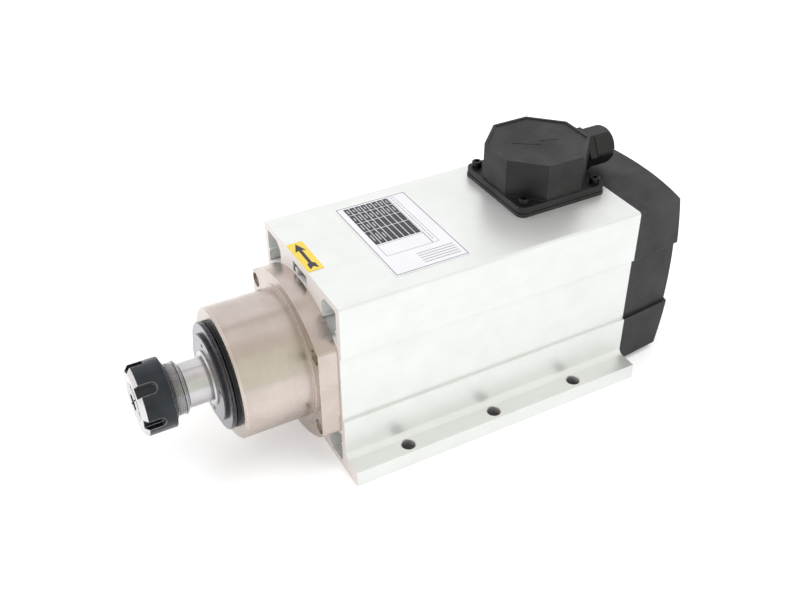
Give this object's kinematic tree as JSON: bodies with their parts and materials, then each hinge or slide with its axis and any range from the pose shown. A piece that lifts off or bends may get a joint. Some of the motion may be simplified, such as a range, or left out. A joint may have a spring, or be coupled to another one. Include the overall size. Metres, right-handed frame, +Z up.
{
  "type": "motor spindle",
  "caption": "Square air-cooled motor spindle with a footed aluminium body, steel bearing nose, collet nut and a black connection box on top.",
  "frame": {"origin": "centre of the base bolt pattern on the underside of the foot", "axes": "+Y along the spindle axis towards the fan cover, so the tool end is at -Y; +Z up; +X to the right when the tool end is faced from the rear"},
  "size_m": [0.133, 0.3539, 0.1505],
  "materials": {
    "blasted_aluminium": "satin clear-anodised extrusion",
    "turned_housing_steel": "satin turned",
    "ground_shaft_steel": "ground bright",
    "polished_steel": "fine turned and polished",
    "bearing_steel": "polished",
    "black_oxide_steel": "black oxide, satin",
    "zinc_screws": "bright zinc",
    "black_screws": "black oxide",
    "lamination_steel": "stacked sheet",
    "enamelled_copper": "varnished wire",
    "cast_aluminium": "as cast",
    "spring_steel": "blued",
    "black_plastic": "fine spark texture",
    "fan_plastic": "moulded",
    "gland_nylon": "satin moulded",
    "white_plastic": "moulded",
    "black_rubber": "matt",
    "lead_insulation": "silicone sleeve",
    "terminal_brass": "bright",
    "name_plate_foil": "printed foil",
    "yellow_label": "printed film",
    "label_ink": "printed"
  },
  "bodies": {
    "motor": {"motor_body": "blasted_aluminium", "bearing_housing": "turned_housing_steel", "flange_screws": "zinc_screws", "front_bearing_cap": "black_oxide_steel", "front_bearing_a_outer": "bearing_steel", "front_bearing_a_balls": "bearing_steel", "front_bearing_b_outer": "bearing_steel", "front_bearing_b_balls": "bearing_steel", "rear_bearing_outer": "bearing_steel", "rear_bearing_balls": "bearing_steel", "stator_core": "lamination_steel", "stator_winding": "enamelled_copper", "rear_shield": "cast_aluminium", "shield_screws": "zinc_screws", "wave_spring": "spring_steel", "fan_cover": "black_plastic", "cover_screws": "black_screws", "box_base": "black_plastic", "box_gasket": "black_rubber", "box_cover": "black_plastic", "box_screws": "black_screws", "gland_body": "gland_nylon", "gland_locknut": "gland_nylon", "terminal_block": "white_plastic", "terminal_screws": "terminal_brass", "motor_leads": "lead_insulation", "earth_screw": "terminal_brass", "name_plate": "name_plate_foil", "arrow_plate": "yellow_label", "direction_arrow": "label_ink"},
    "rotor": {"spindle_shaft": "ground_shaft_steel", "front_dust_disc": "polished_steel", "front_ring_nut": "polished_steel", "front_bearing_a_inner": "bearing_steel", "front_bearing_b_inner": "bearing_steel", "rear_bearing_inner": "bearing_steel", "rotor_core": "lamination_steel", "rotor_end_rings": "cast_aluminium", "cooling_fan": "fan_plastic", "fan_circlip": "spring_steel"},
    "collet": {"collet": "ground_shaft_steel"},
    "nut": {"collet_nut": "black_oxide_steel", "extractor_ring": "black_oxide_steel"},
    "cable_seal": {"gland_seal": "black_rubber"},
    "dome_nut": {"gland_nut": "gland_nylon"}
  },
  "joints": [
    {"name": "spindle_spin", "type": "hinge", "parent": "motor", "child": "rotor", "pos_m": [0, -0.159, 0.06], "axis": [0, -1, 0], "continuous": true},
    {"name": "collet_slide", "type": "slide", "parent": "rotor", "child": "collet", "axis": [0, -1, 0], "range_m": [0, 0.0045]},
    {"name": "nut_turn", "type": "hinge", "parent": "collet", "child": "nut", "pos_m": [0, -0.194, 0.06], "axis": [0, -1, 0], "range_deg": [0, 1080]},
    {"name": "seal_slide", "type": "slide", "parent": "motor", "child": "cable_seal", "axis": [0, 1, 0], "range_m": [0, 0.003]},
    {"name": "dome_nut_turn", "type": "hinge", "parent": "cable_seal", "child": "dome_nut", "pos_m": [-0.01, 0.115, 0.13525], "axis": [0, 1, 0], "range_deg": [0, 720]}
  ],
  "couplings": [
    {"joint": "nut_turn", "follows": "collet_slide", "rad_per_m": 4188.8},
    {"joint": "dome_nut_turn", "follows": "seal_slide", "rad_per_m": 4188.8}
  ]
}
